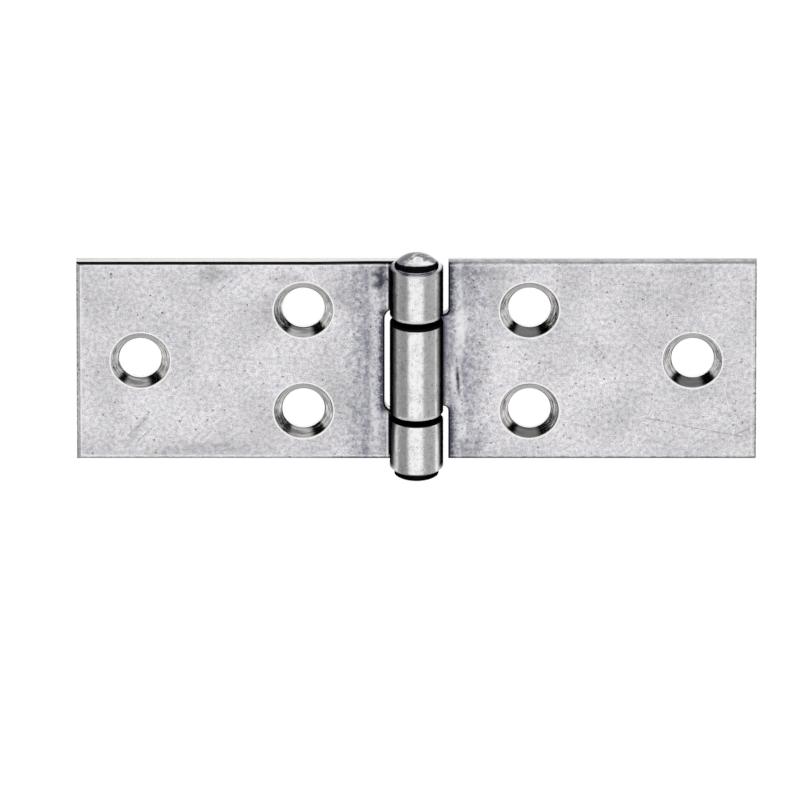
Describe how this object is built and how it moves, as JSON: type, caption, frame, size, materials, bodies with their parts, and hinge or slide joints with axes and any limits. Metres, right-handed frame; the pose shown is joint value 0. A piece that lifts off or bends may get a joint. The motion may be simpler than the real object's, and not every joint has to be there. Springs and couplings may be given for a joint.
{
  "type": "drop leaf table hinge",
  "caption": "Rolled steel hinge with two flat countersunk leaves on a riveted pin, for a table's drop leaf.",
  "frame": {"origin": "under the middle of the pin, on the plane of the leaves' backs", "axes": "+X across the leaves towards the one-knuckle leaf, +Y along the pin, +Z out of the countersunk side"},
  "size_m": [0.08, 0.0286, 0.0063],
  "materials": {
    "leaf_steel": "bare rolled steel with faint mill marks",
    "pin_steel": "bare drawn steel, with a made head at one end and a riveted one at the other"
  },
  "bodies": {
    "fixed_leaf": {"two_knuckle_leaf": "leaf_steel", "rivet_pin": "pin_steel"},
    "swinging_leaf": {"one_knuckle_leaf": "leaf_steel"}
  },
  "joints": [
    {"name": "leaf_swing", "type": "hinge", "parent": "fixed_leaf", "child": "swinging_leaf", "pos_m": [0, 0, 0.00315], "axis": [0, -1, 0], "range_deg": [-97, 184]}
  ]
}
